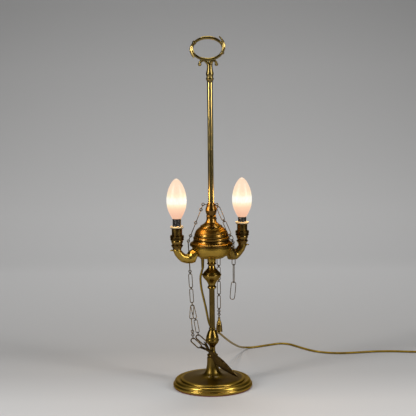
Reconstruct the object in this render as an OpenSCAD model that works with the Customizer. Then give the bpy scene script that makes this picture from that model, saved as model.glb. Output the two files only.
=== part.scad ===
/* [Base] */
// Radius of the base at its lowest step
base_r = 70.8; // [62:0.2:80]
// Height of the stepped rim
rim_h = 15.6; // [13:0.2:19]
// Height of the top of the trumpet foot
foot_top = 53; // [48:0.5:58]
// Radius of the trumpet foot at its top
foot_r = 9.6; // [8.6:0.1:11]
// Wall of the base casting
base_wall = 3; // [2:0.1:4]
// Thickness of the felt pad
felt_t = 1.2; // [0.8:0.1:2]

/* [Stem] */
// Height of the baluster above the foot
baluster_h = 53.5; // [48:0.5:60]
// Largest radius of the baluster
baluster_r = 12.2; // [11:0.1:12.6]
// Height of the reeded column
column_h = 70.5; // [60:0.5:84]
// Radius of the reeded column
column_r = 4.95; // [4.8:0.05:5.4]
// Number of flutes on the column
flutes = 12; // [8:1:16]
// Height of the upper knob with its ring
knob_h = 47.7; // [44:0.1:52]
// Largest radius of the upper knob
knob_r = 17.2; // [15:0.1:18.6]
// Radius of the ring that the font sits on
seat_r = 8.2; // [7.6:0.1:9]
// Radius of the threaded tie rod
tie_r = 2.5; // [2:0.1:2.8]
// Radius of the polished rod
rod_r = 5; // [4.7:0.05:5.3]
// Length of the rod above its seat
rod_h = 316; // [280:1:360]

/* [Handle] */
// Half width of the opening of the ring handle
ring_half_w = 24; // [20:0.1:27]
// Half height of the opening of the ring handle
ring_half_h = 16; // [14:0.1:19]
// Radius of the handle's bar
ring_bar = 2.8; // [2.2:0.1:3.2]
// Height of the neck of the handle, up to the ring
neck_h = 36; // [32:0.5:42]

/* [Font] */
// Radius of the brim
brim_r = 38.2; // [36.5:0.1:40]
// Radius of the bowl below the brim
bowl_r = 34.2; // [32.6:0.1:35]
// Height of the bowl, from its floor to its brim
bowl_h = 23.2; // [21:0.1:26]
// Wall of the bowl
bowl_wall = 1.6; // [1.2:0.1:2.2]
// Height of the cover, from the brim to its neck
cover_h = 48; // [44:0.5:54]
// Wall of the cover
cover_wall = 1.5; // [1:0.1:1.8]
// Height of the bell above the cover
bell_h = 23.6; // [21:0.2:28]
// Largest radius of the bell
bell_r = 10.1; // [9:0.1:11]
// Wall of the sliding sleeve
sleeve_wall = 1.55; // [1.2:0.05:1.7]
// Turn of the arms as the lamp stands, from side to side
arm_turn = 22; // [15:1:30]

/* [Spouts and lamp holders] */
// Distance from the rod to the left bulb
arm_left = 64.5; // [60.5:0.5:66]
// Distance from the rod to the right bulb
arm_right = 59.2; // [58.6:0.1:66]
// Radius of the spout where the cup stands
spout_r = 7.3; // [7:0.1:8]
// Wall of the spouts
spout_wall = 1.6; // [1.2:0.1:1.8]
// Height of the cup on the spout
cup_h = 8.8; // [8:0.1:11]
// Radius of the rim of the cup
cup_r = 10.3; // [9.4:0.1:11.5]
// Outer radius of the barrel of a lamp holder
barrel_r = 9.2; // [9.1:0.05:9.9]
// Height of the barrel, with its rim
barrel_h = 24.8; // [23:0.2:28]
// Radius of the rim of the barrel
barrel_rim_r = 11.5; // [10.4:0.1:12.5]
// Outer radius of the shade ring
shade_ring_r = 12.2; // [11.4:0.1:13.5]
// Height of the shade ring
shade_ring_h = 8.8; // [7:0.1:10]
// Radius of the bulb's cap
cap_r = 7.6; // [7.4:0.05:7.65]
// Length of the left bulb's cap
cap_left = 24.5; // [19.5:0.5:26]
// Length of the right bulb's cap
cap_right = 20; // [19.5:0.5:26]
// Radius of the bulb's glass
glass_r = 17.5; // [15:0.1:19]
// Height of the bulb's glass
glass_h = 70; // [66:0.5:84]

/* [Chains and tools] */
// Thickness of the chain's wire
wire_d = 1.3; // [1:0.1:1.5]
// Half width of a long link, to the middle of its wire
link_b = 3; // [2.7:0.1:3.4]
// Radius of a small round link, to the middle of its wire
ring_b = 2.3; // [2.2:0.05:2.6]
// Drop of the left chain from the font to its fork
fork_drop = 78; // [76:0.5:80]
// Drop of the right chain from the font to its wide link
right_drop = 34; // [30:0.5:40]
// Drop of the back chain from the font to the snuffer
back_drop = 105; // [101:0.5:106]
// Length of the snuffer
snuffer_h = 26; // [22:0.5:27]
// Radius of the mouth of the snuffer
snuffer_r = 6.2; // [5.6:0.1:7]
// Length of the scissors' blades
blade_l = 66; // [55:1:68]
// Length of the scissors' handles
shank_l = 41; // [38:0.5:44]
// Thickness of one half of the scissors
half_t = 1.6; // [1.2:0.1:2]

/* [Cord] */
// Diameter of the flex
flex_d = 4; // [3.6:0.1:4.2]
// Least step from one turn of the coil to the next
coil_step = 4.5; // [4.5:0.05:5]
// Radius of the coil at the middle of its turns
coil_r = 20.8; // [20.4:0.1:22]
// Width of the plug
plug_w = 44; // [40:1:50]
// Length of the plug
plug_l = 48; // [44:1:54]
// Depth of the plug's cover
plug_t = 13; // [12:0.5:16]

/* [Hidden] */
$fn = 64;

// Clearances: a turning or sliding fit, a seat between two pieces, and pieces that stay clear
fit = 0.06;
seat = 0.1;
clear = 0.3;

brass = "#8a6f2a";
dark_brass = "#57441c";
bronze = "#4a3d26";
steel = "#8f8f8c";

// Heights of the stack, each worked out from the piece below
baluster_z = foot_top;
column_z = baluster_z + baluster_h;
knob_z = column_z + column_h;
seat_z = knob_z + knob_h;
plate_z = seat_z + seat + 8.6;
floor_z = plate_z + 1.8;
brim_z = floor_z + bowl_h;
neck_z = brim_z + cover_h;
rod_top = seat_z + rod_h;
spout_z = brim_z - 6;
cup_z = spout_z + seat;
holder_z = cup_z + cup_h;
barrel_z = holder_z + 6.9;
barrel_top = barrel_z + barrel_h;
cap_z = barrel_top - 11;

// A piece on an arm knows its arm by its turn, which is over half a circle for the left one
function arm(turn) = turn > 120 ? arm_left : arm_right;
function glass_z(turn) = cap_z + (turn > 120 ? cap_left : cap_right);

sleeve_in = rod_r + fit;
sleeve_out = sleeve_in + sleeve_wall;
plate_r = 22;
spigot_r = 20.2;

// A closed solid from rings of points, each ring joined to the next
module skin(rings, closed = false) {
    n = len(rings);
    m = len(rings[0]);
    pts = [for (r = rings) each r];
    last = closed ? n - 1 : n - 2;
    sides = [for (i = [0:last], j = [0:m - 1])
        let (a = i * m + j, b = i * m + (j + 1) % m,
             c = ((i + 1) % n) * m + (j + 1) % m, d = ((i + 1) % n) * m + j)
        each [[a, b, c], [a, c, d]]];
    caps = closed ? [] : [[for (j = [m - 1:-1:0]) j], [for (j = [0:m - 1]) (n - 1) * m + j]];
    polyhedron(points = pts, faces = concat(sides, caps), convexity = 8);
}

function unit(v) = v / norm(v);
function tangent(p, i, closed) = let (n = len(p))
    closed ? unit(p[(i + 1) % n] - p[(i + n - 1) % n])
    : unit(p[min(i + 1, n - 1)] - p[max(i - 1, 0)]);

// Side directions along a path, turned as little as possible from one point to the next
function sides_along(p, first) = [for (i = 0, s = unit(first); i < len(p);
    i = i + 1,
    s = i < len(p) ? let (t = tangent(p, i, false)) unit(s - (s * t) * t) : s) s];

// One ring of a tube, wound so that the faces point outwards
function ring_at(c, t, s, r, m) = let (b = cross(t, s))
    [for (j = [0:m - 1]) c + r * (cos(-360 * j / m) * s + sin(-360 * j / m) * b)];

module tube(p, r, m, first, from = 0, to = undef) {
    s = sides_along(p, first);
    skin([for (i = [from:is_undef(to) ? len(p) - 1 : to])
        ring_at(p[i], tangent(p, i, false), s[i], is_list(r) ? r[i] : r, m)]);
}

// Points of a smooth curve through hand-chosen points
function curve_point(p, i, t) = let (n = len(p) - 1,
    a = p[max(i - 1, 0)], b = p[i], c = p[min(i + 1, n)], d = p[min(i + 2, n)])
    0.5 * (2 * b + (c - a) * t + (2 * a - 5 * b + 4 * c - d) * t * t
        + (3 * b - a - 3 * c + d) * t * t * t);
function smooth(p, k) = concat(
    [for (i = [0:len(p) - 2], j = [0:k - 1]) curve_point(p, i, j / k)], [p[len(p) - 1]]);
function length_of(p, i = 0) = i >= len(p) - 1 ? 0 : norm(p[i + 1] - p[i]) + length_of(p, i + 1);

// A turned piece from its outline of radius and height
module turned(outline, fn = 72) {
    rotate_extrude($fn = fn) polygon(outline);
}

module ring_wall(outer, inner, z0, z1) {
    translate([0, 0, z0]) difference() {
        cylinder(r = outer, h = z1 - z0);
        translate([0, 0, -1]) cylinder(r = inner, h = z1 - z0 + 2);
    }
}

module bore(r, z0, z1) {
    translate([0, 0, z0]) cylinder(r = r, h = z1 - z0);
}

// Points on a round moulding, from one angle to another about its centre
function round_points(c, r, a0, a1, n) = [for (i = [0:n])
    c + r * [cos(a0 + (a1 - a0) * i / n), sin(a0 + (a1 - a0) * i / n)]];

// The stand

module felt_pad() {
    color("#6b1f16") cylinder(r = base_r - 1.6, h = felt_t, $fn = 96);
}

function base_outline() = let (r = base_r, h = rim_h) concat(
    [[r - 2, felt_t], [r - 0.6, 1.6], [r, 2.8], [r, 5.4], [r - 0.7, 6.4], [r - 2.4, 7],
     [r - 2.8, 7.6], [r - 2.6, 8.3]],
    round_points([r - 8, 8.6], 5.5, 0, 80, 8),
    [[r - 9.4, 13.6], [r - 10.6, 13], [r - 13, 13]],
    round_points([r - 15, h - 1.8], 1.8, 20, 110, 5),
    [[r - 18, h + 0.3], [46, h + 0.9], [37, h + 2.4], [30, h + 4.3], [25, h + 6.6],
     [21, h + 9.6], [17.8, h + 13.6], [15.1, h + 18.6], [13, h + 24.2], [foot_r + 1.4, h + 30],
     [foot_r + 0.5, foot_top - 2.6], [foot_r, foot_top - 0.6], [foot_r - 0.6, foot_top]]);

module base() {
    w = base_wall;
    color(brass) difference() {
        turned(concat(base_outline(), [[0, foot_top], [0, felt_t]]), 96);
        turned([[0, -1], [base_r - w - 2.4, -1], [base_r - w - 2.4, 3], [base_r - w - 5, 8.6],
            [base_r - w - 12, 9.6], [52, rim_h - w], [37, rim_h + 2.4 - w], [25, rim_h + 3.6],
            [16, rim_h + 4], [0, rim_h + 4]], 96);
        bore(tie_r + fit, 0, foot_top + 1);
    }
}

washer_z = rim_h + 4;

module base_washer() {
    color(steel) ring_wall(9, tie_r + fit, washer_z - 1.6, washer_z);
}

module base_nut() {
    color(steel) translate([0, 0, washer_z - 6.6]) difference() {
        cylinder(r = 5.6, h = 5, $fn = 6);
        translate([0, 0, -1]) cylinder(r = tie_r + fit, h = 7);
    }
}

module tie_rod() {
    color(steel) translate([0, 0, washer_z - 9])
        cylinder(r = tie_r, h = seat_z + 12 - washer_z + 9);
}

module baluster() {
    b = baluster_h;
    z = baluster_z;
    color(dark_brass) difference() {
        turned(concat([[0, z], [8.4, z], [8.6, z + 1.2]],
            round_points([7.8, z + 3.4], 1.9, -60, 60, 6),
            [[6.6, z + 6.2], [6.2, z + 8.4], [5.2, z + 11.6], [4.8, z + 15], [5, z + 18.4],
             [6.2, z + 20.8], [7.2, z + 22.2], [9.8, z + 25.2], [baluster_r - 1, z + 28.2],
             [baluster_r - 0.6, z + 30]],
            round_points([baluster_r - 1.1, z + 31.2], 1.1, -60, 60, 5),
            [[baluster_r - 0.8, z + 32.6], [11, z + 36.6], [9.6, z + 41.4], [7.8, z + 46],
             [6.2, z + b - 4.4], [5.4, z + b - 3.4]],
            round_points([4.9, z + b - 1.7], 1.2, -70, 70, 5),
            [[5.2, z + b], [0, z + b]]));
        bore(tie_r + fit, z - 1, z + b + 1);
    }
}

module column() {
    color(dark_brass) translate([0, 0, column_z]) difference() {
        cylinder(r = column_r, h = column_h);
        translate([0, 0, -1]) cylinder(r = tie_r + fit, h = column_h + 2);
        for (i = [0:flutes - 1]) rotate([0, 0, 360 * i / flutes])
            translate([column_r + 0.3, 0, 3]) cylinder(r = 0.75, h = column_h - 6, $fn = 16);
    }
}

module knob() {
    z = knob_z;
    t = seat_z;
    k = knob_r;
    color(brass) difference() {
        turned(concat([[0, z], [6.6, z], [7.4, z + 0.8]],
            round_points([6.6, z + 2.6], 1.4, -60, 60, 5),
            [[6.4, z + 5], [6.2, z + 7], [7, z + 9.6], [8.4, z + 12], [11, z + 15.6],
             [k - 3.4, z + 18.6], [k - 1.4, z + 21.6], [k - 0.7, z + 23.9]],
            round_points([k - 1, z + 25.4], 1, -70, 70, 5),
            [[k - 1.6, z + 27.2], [k - 3.6, z + 30.2], [10.6, z + 33.2], [8.2, z + 35.8], [6.6, z + 38.6],
             [5.9, t - 6], [6.2, t - 5.2]],
            round_points([seat_r - 1.7, t - 2.6], 1.7, -70, 60, 6),
            [[seat_r - 1.2, t - 0.6], [seat_r - 1.4, t], [0, t]]));
        bore(tie_r + fit, z - 1, t + 1);
        bore(rod_r + fit, t - 10, t + 1);
    }
}

module rod() {
    color(brass) difference() {
        union() {
            translate([0, 0, seat_z - 10]) cylinder(r = rod_r, h = rod_top - seat_z + 10);
            translate([0, 0, rod_top - 1]) cylinder(r = rod_r - 1.6, h = 11);
        }
        bore(tie_r + fit, seat_z - 11, seat_z + 13);
    }
}

// The ring handle: an oval bar with two branches wrapped round it, over a turned neck
handle_x = -3.4;
ring_low = rod_top + neck_h;
handle_z = ring_low + ring_half_h + 2 * ring_bar;
volute_r = 2.7;

function oval(a, grow) = [handle_x + (ring_half_w + ring_bar + grow) * cos(a), 0,
    handle_z + (ring_half_h + ring_bar + grow) * sin(a)];

module oval_bar() {
    n = 28;
    pts = [for (i = [0:n - 1]) oval(360 * i / n, 0)];
    skin([for (i = [0:n - 1]) let (t = tangent(pts, i, true), s = [0, 1, 0])
        ring_at(pts[i], t, s, ring_bar * (0.82 + 0.18 * pow(sin(360 * i / n), 2)), 8)], true);
}

// A leaf that lies along the outside of the oval and lifts off it towards its tip
module leaf(a0, a1, lift, side) {
    n = 8;
    pts = [for (i = [0:n]) let (u = i / n)
        oval(a0 + (a1 - a0) * u, 1 + lift * pow(u, 1.6)) + [0, side * 1.2 * sin(180 * u), 0]];
    tube(pts, [for (i = [0:n]) ring_bar * (0.3 + 0.6 * sin(25 + 145 * i / n))], 6, [0, 1, 0]);
}

// A branch of the neck rises to the ring and ends in a scroll that hangs free beside it
module branch(side, reach) {
    foot = [side * 1.6, 0, ring_low - 12];
    top = [side * reach * 0.5 + handle_x / 2, 0, ring_low + 1.6];
    end = [side * reach + handle_x / 2, 0, ring_low - 5.6];
    pts = smooth([foot, [side * 2.4, 0, ring_low - 5], top,
        [end[0] - side * 0.6, 0, ring_low - 1], end], 4);
    n = len(pts) - 1;
    tube(pts, [for (i = [0:n]) 3.4 - 1.9 * min(1, i / (n - 3))], 8, [0, 1, 0]);
    translate(end) sphere(r = volute_r, $fn = 24);
}

module ring_handle() {
    z = rod_top;
    color(brass) {
        difference() {
            turned(concat([[0, z], [4.9, z], [5.2, z + 1.6], [6.2, z + 3.4]],
                round_points([5.4, z + 5.6], 1.7, -70, 70, 5),
                [[5.8, z + 8.4], [5.7, z + 9.8], [6.6, z + 12.6], [6.8, z + 15.2], [6, z + 18],
                 [5.2, z + 21.4], [4.8, ring_low - 10], [4.6, ring_low - 5], [0, ring_low - 5]]), 48);
            bore(rod_r - 1.6 + fit, z - 1, z + 11);
        }
        oval_bar();
        leaf(-20, 54, 6, 1);
        leaf(-16, 40, 4.6, -1);
        leaf(152, 222, 3.6, -1);
        leaf(150, 204, 3, 1);
        translate(oval(147, 0.4)) sphere(r = 3.7, $fn = 24);
        translate(oval(-22, 0.6)) sphere(r = 3.3, $fn = 24);
        branch(-1, 16);
        branch(1, 13.6);
    }
}

// The font

module sleeve() {
    top = neck_z - 3;
    color(brass) difference() {
        turned([[0, seat_z + seat], [6.4, seat_z + seat], [7.5, seat_z + 1], [7.5, plate_z - 2.6],
            [8.4, plate_z - 0.6], [plate_r - 1, plate_z - 0.2], [plate_r, plate_z + 0.4],
            [plate_r, floor_z - seat], [spigot_r, floor_z - seat], [spigot_r, floor_z + bowl_wall + seat],
            [sleeve_out, floor_z + bowl_wall + seat], [sleeve_out, top], [0, top]]);
        bore(sleeve_in, seat_z - 1, top + 1);
        translate([flex_x, flex_y, plate_z - 3]) cylinder(r = relief_r + fit, h = 12);
    }
}

disc_z = floor_z + bowl_wall + 2 * seat;
disc_t = 1.2;

module retaining_disc() {
    color(brass) difference() {
        ring_wall(spigot_r + 2.6, sleeve_out + fit, disc_z, disc_z + disc_t);
        translate([flex_x, flex_y, disc_z - 1]) cylinder(r = relief_r + 0.4, h = disc_t + 2);
    }
}

module sleeve_nut() {
    color(brass) translate([0, 0, disc_z + disc_t]) difference() {
        cylinder(r = 9.6, h = 4, $fn = 6);
        translate([0, 0, -1]) cylinder(r = sleeve_out + fit, h = 6);
    }
}

function bowl_outer(d) = [[spigot_r + 0.5, floor_z - d], [22.4, floor_z - d], [25.5, floor_z + 0.6 - d],
    [29, floor_z + 2.6], [bowl_r - 2.6 + d, floor_z + 6], [bowl_r - 0.9 + d, floor_z + 10.4],
    [bowl_r + d, floor_z + 15.4], [bowl_r + d, brim_z - 3.8]];

module bowl() {
    w = bowl_wall;
    color(brass) difference() {
        turned(concat([[0, floor_z]], bowl_outer(0), [[brim_r - 0.6, brim_z - 3.8], [brim_r, brim_z - 3.2],
            [brim_r, brim_z - 0.8], [brim_r - 0.6, brim_z], [0, brim_z]]));
        turned([[0, floor_z + w], [24.6, floor_z + w], [28, floor_z + w + 2], [bowl_r - w - 2.6, floor_z + 7],
            [bowl_r - w - 0.9, floor_z + 11], [bowl_r - w, floor_z + 15.4], [bowl_r - w, brim_z + 1],
            [0, brim_z + 1]]);
        bore(spigot_r + fit, floor_z - 1, floor_z + w + 1);
        for (side = [0, 180]) rotate([0, 0, arm_turn + side]) translate([20, 0, floor_z + 6.4])
            rotate([0, 90, 0]) cylinder(r = 3.6, h = 20, $fn = 32);
    }
}

cover_low = brim_z + seat;
cover_in = bowl_r - bowl_wall - 0.3;

function cover_outline(d) = let (z = cover_low, n = neck_z) [[37.2 - d, z], [37.2 - d, z + 0.8],
    [34.6 - d, z + 2.2], [32.6 - d, z + 4.4], [32 - d, z + 6], [31 - d, z + 6.4], [30.9 - d, z + 7.2],
    [31.9 - d, z + 8.4], [32.2 - d, z + 9.8], [31.8 - d, z + 11.2], [30.8 - d, z + 12.2],
    [30 - d, z + 12.6], [30.2 - d, z + 13.6], [30 - d, z + 16], [29 - d, z + 18.4], [28.4 - d, z + 19],
    [28.6 - d, z + 19.8], [26.6 - d, z + 23.2], [23.6 - d, z + 26.4], [20.4 - d, z + 28.8],
    [19.2 - d, z + 30.4], [19 - d, z + 31.6], [15.6 - d, z + 33.2], [12.6 - d, z + 35.2],
    [10.2 - d, z + 37.6], [8.9 - d, z + 40.4], [8.3 - d, n - 4], [8.3 - d, n]];

module cover() {
    color(brass) difference() {
        union() {
            turned(concat(cover_outline(0), [[0, neck_z], [0, cover_low]]));
            translate([0, 0, cover_low - 4]) cylinder(r = cover_in, h = 5);
        }
        turned(concat([[cover_in - cover_wall, cover_low - 5], [cover_in - cover_wall, cover_low + 1.4]],
            [for (p = cover_outline(cover_wall)) if (p[1] > cover_low + 4 && p[1] < neck_z - 4.5) p],
            [[sleeve_out + 0.15, neck_z - 4], [sleeve_out + 0.15, neck_z + 1], [0, neck_z + 1],
             [0, cover_low - 5]]));
    }
}

module bell() {
    z = neck_z;
    t = z + bell_h;
    color(brass) difference() {
        turned([[0, z - 2.4], [sleeve_out + 0.1, z - 2.4], [sleeve_out + 0.1, z], [8.3, z],
            [8.8, z + 0.8], [8.3, z + 1.8], [7.8, z + 2.6], [8.9, z + 5.2], [bell_r - 0.3, z + 8.6],
            [bell_r, z + 11], [bell_r - 0.4, z + 13.6], [8.4, t - 5.6], [7, t - 2.6], [6.6, t - 1],
            [6.2, t], [0, t]]);
        bore(sleeve_in, z - 3, t + 1);
        for (i = [0:2]) rotate([0, 0, chain_turns[i]]) translate([eye_root - 0.1, 0, eye_z])
            rotate([0, 90, 0]) cylinder(r = wire_d / 2 + fit, h = bell_r, $fn = 16);
    }
}

// Where each chain leaves its eye and where it goes over the brim
chain_turns = [177, -20, 72];
eye_r = [14, 10.8, 10.8];
eye_z = neck_z + bell_h - 2.6;
eye_root = rod_r + 1.2;
drape_r = brim_r + 2.8;
drape_z = brim_z + 2.4;
function around(a, r, z) = [r * cos(a), r * sin(a), z];
function eye_at(i) = around(chain_turns[i], eye_r[i], eye_z);
function drape_at(i) = around(chain_turns[i], drape_r, drape_z);

module chain_eyes() {
    color(bronze) for (i = [0:2]) rotate([0, 0, chain_turns[i]]) translate([0, 0, eye_z]) {
        translate([eye_root, 0, 0]) rotate([0, 90, 0])
            cylinder(r = wire_d / 2, h = eye_r[i] - eye_root - ring_b + 0.2, $fn = 16);
        translate([eye_r[i], 0, 0]) rotate([90, 0, 0])
            rotate_extrude($fn = 32) translate([ring_b, 0]) circle(r = wire_d / 2, $fn = 16);
    }
}

// The spouts: the middle line and radius of the casting, from the bowl to the cup
function spout_line(turn) = let (x = arm(turn), z = spout_z) [[37.4, 0, z - 15.4], [41.5, 0, z - 17.6],
    [46, 0, z - 18.2], [x - 11, 0, z - 16.2], [x - 6.4, 0, z - 12], [x - 2.4, 0, z - 7], [x, 0, z - 3],
    [x, 0, z]];
spout_radii = [11.5, 9.7, 8.4, 7.8, 7.4, spout_r - 0.05, spout_r - 0.05, spout_r];

spout_sides = 20;
root_z = floor_z + 9.2;
root_w = 12.2;
root_h = 7;

// The root of a spout lies on the outside of the bowl, the clearance of a soldered seat away
function root_ring(inset) = [for (j = [0:spout_sides - 1]) let (a = -360 * j / spout_sides,
    y = (root_w - inset) * cos(a), z = root_z + (root_h - inset) * sin(a),
    r = lookup(z, [for (q = bowl_outer(0)) [q[1], q[0]]]) + clear + seat) [sqrt(r * r - y * y), y, z]];

// The last two rings stand level, so that the cup's stub fits the straight end
function spout_rings(turn, inset) = let (p = spout_line(turn), s = sides_along(p, [0, 1, 0]),
    n = len(p)) concat([root_ring(inset)], [for (i = [0:n - 1]) ring_at(p[i],
        i > n - 3 ? [0, 0, 1] : tangent(p, i, false), s[i], spout_radii[i] - inset, spout_sides)]);

function backwards(v) = [for (i = [len(v) - 1:-1:0]) v[i]];

module spout(turn) {
    color(brass) rotate([0, 0, turn]) {
        skin(concat(spout_rings(turn, 0), backwards(spout_rings(turn, spout_wall))), true);
        spout_lip(arm(turn) + spout_r);
    }
}

// The small pointed lip on the outer side of a spout
module spout_lip(x) {
    z = spout_z - 1.4;
    skin([for (q = [[x - 1, 3.4, 1.2, 0], [x + 2.4, 3.2, 1, 0.2], [x + 4.6, 1.9, 0.7, 0],
        [x + 6.4, 0.3, 0.3, -0.9]]) [for (c = [[-1, -1], [1, -1], [1, 1], [-1, 1]])
        [q[0], -c[0] * q[1], z + q[3] + c[1] * q[2]]]]);
}

function slice(p, a, b) = [for (i = [a:b]) p[i]];

module inner_flex(turn) {
    x = arm(turn);
    path = concat([[sleeve_out + 12, 0, floor_z + 7], [34, 0, floor_z + 6.6]],
        slice(spout_line(turn), 1, 6), [[x, 0, spout_z + 4], [x, 0, holder_z + 5]]);
    color("#b59a4a") rotate([0, 0, turn]) tube(path, 1.5, 6, [0, 1, 0]);
}

// The terminal blocks hang on the ends of the inner wires, clear of the sleeve's nut and disc
module terminal_block() {
    color("#d8d2c2") for (turn = [arm_turn, arm_turn + 180]) rotate([0, 0, turn])
        translate([sleeve_out + 3.6, -4, disc_z + disc_t + 2]) cube([8.2, 8, 7]);
}

// A lamp holder stands on the end of each spout
module at_arm(turn) {
    rotate([0, 0, turn]) translate([arm(turn), 0, 0]) children();
}

stub_r = (spout_r - spout_wall) * cos(180 / spout_sides) - fit;

module cup(turn) {
    z = cup_z;
    t = z + cup_h;
    color(dark_brass) at_arm(turn) difference() {
        turned([[0, z - 2.6], [stub_r, z - 2.6], [stub_r, z], [spout_r, z], [spout_r + 0.3, z + 1.4],
            [cup_r - 1.4, z + 4], [cup_r - 0.4, z + 5.2], [cup_r, z + 6], [cup_r, z + 7.2],
            [cup_r - 0.7, z + 7.8], [cup_r - 1.6, z + 8.2], [cup_r - 1.6, t], [0, t]]);
        bore(2.4, z - 4, t + 1);
    }
}

base_neck_r = cap_r + 0.4;

module holder_base(turn) {
    z = holder_z + seat;
    color(dark_brass) at_arm(turn) difference() {
        turned([[0, z], [8.5, z], [9.3, z + 1.2], [10.2, z + 3.2], [10.4, z + 5.4], [10, z + 6.6],
            [base_neck_r, z + 6.6], [base_neck_r, z + 10.6], [0, z + 10.6]]);
        bore(2.4, z - 1, z + 4);
        bore(5.5, z + 2.4, z + 12);
    }
}

insulator_z = holder_z + seat + 10.6 + seat;

module insulator(turn) {
    color("#3a2d24") at_arm(turn) translate([0, 0, insulator_z]) difference() {
        cylinder(r = cap_r, h = 4.6);
        for (s = [-1, 1]) translate([s * 3.2, 0, -1]) cylinder(r = 1.7 + fit, h = 7, $fn = 24);
    }
}

module plungers(turn) {
    color(steel) at_arm(turn) for (s = [-1, 1]) translate([s * 3.2, 0, insulator_z + 2.2])
        cylinder(r = 1.7, h = cap_z - insulator_z - 2.2 - seat, $fn = 24);
}

module barrel(turn) {
    z = barrel_z;
    t = barrel_top;
    color(dark_brass) at_arm(turn) difference() {
        turned([[0, z], [barrel_r, z], [barrel_r, t - 4.6], [barrel_rim_r - 1.2, t - 3.8],
            [barrel_rim_r, t - 3.2], [barrel_rim_r, t - 0.8], [barrel_rim_r - 0.5, t], [0, t]]);
        bore(base_neck_r + fit, z - 1, insulator_z + 4.7);
        bore(cap_r + 0.2, z - 1, t + 1);
        for (s = [0, 180]) rotate([0, 0, s + 45]) translate([0, -1.5, t - 9.4]) cube([cap_r + 1.2, 3, 12]);
        intersection() {
            bore(cap_r + 1.2, t - 9.4, t - 4.2);
            for (s = [0, 180]) rotate([0, 0, s]) linear_extrude(height = t + 1)
                polygon([[0, 0], [14, -6.5], [14, 14 + 3.2]]);
        }
    }
}

module shade_ring(turn) {
    z = barrel_z + seat;
    t = z + shade_ring_h;
    r = shade_ring_r;
    color(dark_brass) at_arm(turn) difference() {
        turned([[0, z], [r - 1, z], [r - 0.2, z + 0.8], [r - 0.2, z + 2.8], [r - 1, z + 3.4], [r - 1, z + 4],
            [r, z + 4.6], [r, t - 1], [r - 0.8, t], [0, t]]);
        bore(barrel_r + fit, z - 1, t + 1);
    }
}

module bulb_cap(turn) {
    t = glass_z(turn);
    color(steel) at_arm(turn) {
        difference() {
            turned([[0, cap_z], [cap_r - 0.8, cap_z], [cap_r, cap_z + 0.8], [cap_r, t], [0, t]], 48);
            bore(cap_r - 0.5, cap_z + 3, t + 1);
        }
        for (s = [0, 180]) rotate([0, 0, s]) translate([cap_r - 0.8, 0, cap_z + 5])
            rotate([0, 90, 0]) cylinder(r = 1, h = 1.7, $fn = 16);
    }
}

function glass_outline(z, d) = let (g = glass_r - d, h = glass_h) [[g * 0.43 - d * 0.6, z + 0.1],
    [g * 0.5 - d * 0.2, z + h * 0.025], [g * 0.66, z + h * 0.1], [g * 0.83, z + h * 0.195],
    [g * 0.94, z + h * 0.29], [g * 0.995, z + h * 0.39], [g, z + h * 0.45], [g * 0.985, z + h * 0.53],
    [g * 0.91, z + h * 0.64], [g * 0.78, z + h * 0.75], [g * 0.6, z + h * 0.85],
    [g * 0.42, z + h * 0.92], [g * 0.24, z + h * 0.97 - d / 2], [g * 0.12, z + h * 0.99 - d],
    [0, z + h - d]];

module bulb_glass(turn) {
    z = glass_z(turn);
    color("#ffe0c0") at_arm(turn) difference() {
        union() {
            turned(concat([[0, z + 0.1]], glass_outline(z, 0)), 48);
            bore(cap_r - 0.6, z - 8, z + 1);
        }
        turned(concat([[0, z + 0.1]], glass_outline(z, 0.8)), 48);
        bore(cap_r - 1.4, z - 9, z + 1);
    }
}

// The chains: long links and small rings, each turned a quarter from the last
over = wire_d / 2 + 0.08;
short = 7;
fork_b = 3.4;
fork_apart = wire_d / 2 + clear;
function kind_half(k) = k == "r" ? ring_b : k == "R" ? fork_b : link_b;
function kind_length(k, long) = k == "L" ? long : k == "l" ? short : 2 * (kind_half(k) - over);

module link(a, b, half, u, v) {
    m = half == ring_b ? 10 : 16;
    d = unit(b - a);
    l = norm(b - a) / 2 + over + half * (1 - cos(180 / m));
    mid = (a + b) / 2;
    skin([for (i = [0:m - 1]) let (t = (i + 0.5) * 360 / m, side = cos(t) > 0 ? 1 : -1,
        out = cos(t) * d + sin(t) * u, c = mid + side * (l - half) * d + half * out)
        [for (j = [0:5]) let (f = 60 * j) c + wire_d / 2 * (cos(f) * out + sin(f) * v)]], true);
}

// A run of links from one point to another, the first one spread to the given side:
// L is a long link, l a short one, r a small ring and R a larger one
module run(a, b, kinds, side) {
    n = len(kinds);
    longs = len([for (k = kinds) if (k == "L") 1]);
    rest = [for (k = kinds) if (k != "L") kind_length(k, 0)];
    d = unit(b - a);
    long = (norm(b - a) - rest * [for (r = rest) 1]) / longs;
    flat = unit(side - (side * d) * d);
    lens = [for (k = kinds) kind_length(k, long)];
    starts = [for (i = 0, s = 0; i < n; s = s + lens[i], i = i + 1) s];
    for (i = [0:n - 1]) {
        u = i % 2 == 0 ? flat : cross(d, flat);
        link(a + starts[i] * d, a + (starts[i] + lens[i]) * d, kind_half(kinds[i]), u, cross(d, u));
    }
}

function beside(i) = [-sin(chain_turns[i]), cos(chain_turns[i]), 0];

module chain_top(i) {
    d = unit(drape_at(i) - eye_at(i));
    color(bronze) run(eye_at(i) + (ring_b - over) * d, drape_at(i),
        i == 0 ? ["l", "r", "L", "r", "L", "r", "l", "r"] : ["r", "L", "r", "L", "r", "l", "r", "r"],
        beside(i));
}

fork_at = [-35.2, 1, seat_z - fork_drop];
right_low = around(chain_turns[1], drape_r, seat_z - right_drop);
last_b = 4.4;
last_l = 30;
back_end = around(chain_turns[2], drape_r, seat_z - back_drop);

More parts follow.
